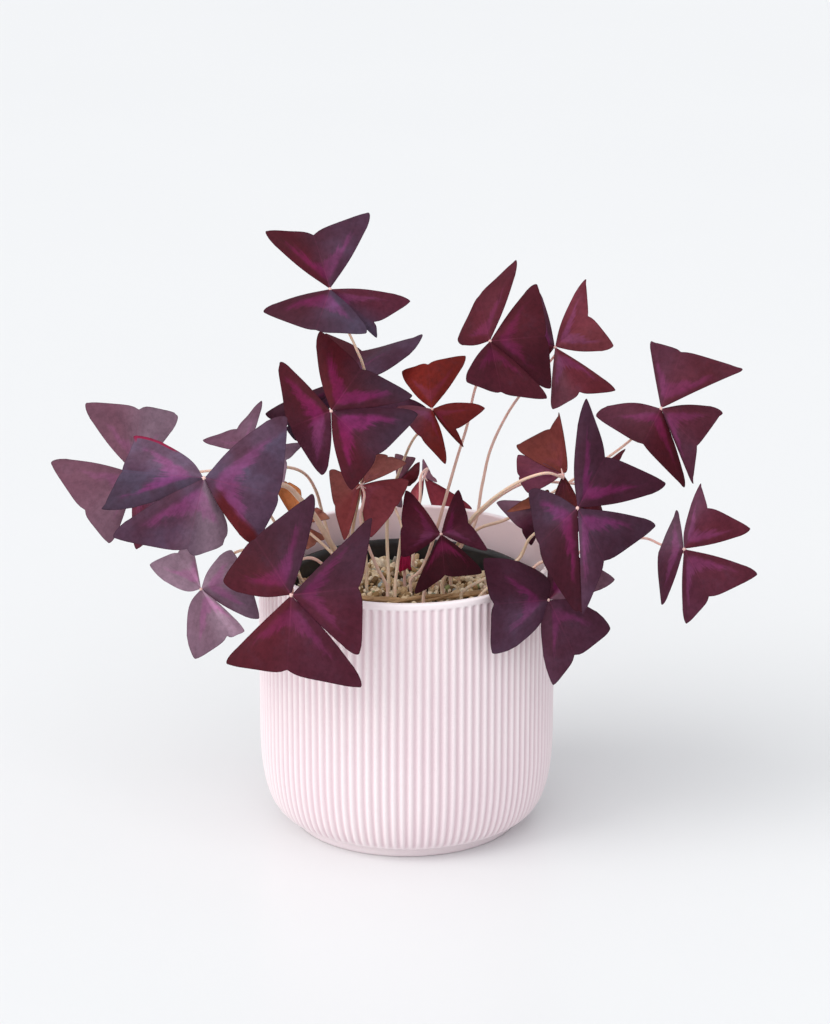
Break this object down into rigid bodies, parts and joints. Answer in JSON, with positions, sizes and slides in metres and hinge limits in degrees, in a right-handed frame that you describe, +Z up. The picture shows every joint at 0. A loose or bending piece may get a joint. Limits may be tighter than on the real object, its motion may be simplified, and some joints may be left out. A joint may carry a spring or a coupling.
{
  "type": "potted oxalis",
  "caption": "Purple oxalis with three-part leaves on thin stems, in grit in a black nursery pot inside a ribbed pale pink planter.",
  "frame": {"origin": "centre of the planter's flat base, on the surface it stands on", "axes": "+Z up along the planter's axis; -Y towards the viewer of the picture; +X to the viewer's right"},
  "size_m": [0.3311, 0.2171, 0.3001],
  "materials": {
    "planter": "satin",
    "nursery_pot": "satin",
    "grit": "rough",
    "dry_stem": "dry",
    "blade": "satin leaf, dark purple",
    "young_leaf": "furled leaf, magenta",
    "stem": "fleshy stem, pink"
  },
  "bodies": {
    "root": {"planter": "planter", "nursery_pot": "nursery_pot", "grit": "grit", "dry_stem_front": "dry_stem", "dry_stem_left": "dry_stem", "dry_stem_right": "dry_stem", "young_leaf": "young_leaf", "leaf_behind_centre": "blade", "leaf_behind_centre_left": "blade", "leaf_behind_left_large": "blade", "leaf_behind_right_front": "blade", "leaf_behind_right_middle": "blade", "leaf_behind_rim": "blade", "leaf_centre_front": "blade", "leaf_centre_left": "blade", "leaf_centre_red": "blade", "leaf_centre_underside": "blade", "leaf_far_left": "blade", "leaf_front_left": "blade", "leaf_left_large": "blade", "leaf_left_underside": "blade", "leaf_lower_left": "blade", "leaf_lower_right": "blade", "leaf_right_front": "blade", "leaf_right_lower": "blade", "leaf_right_underside": "blade", "leaf_right_upper": "blade", "leaf_top_centre": "blade", "leaf_top_left": "blade", "leaf_top_right": "blade", "stem_behind_centre": "stem", "stem_behind_centre_left": "stem", "stem_behind_left_large": "stem", "stem_behind_right_front": "stem", "stem_behind_right_middle": "stem", "stem_behind_rim": "stem", "stem_centre_front": "stem", "stem_centre_left": "stem", "stem_centre_red": "stem", "stem_centre_underside": "stem", "stem_far_left": "stem", "stem_front_left": "stem", "stem_left_large": "stem", "stem_left_underside": "stem", "stem_lower_left": "stem", "stem_lower_right": "stem", "stem_right_front": "stem", "stem_right_lower": "stem", "stem_right_underside": "stem", "stem_right_upper": "stem", "stem_top_centre": "stem", "stem_top_left": "stem", "stem_top_right": "stem"}
  },
  "joints": []
}
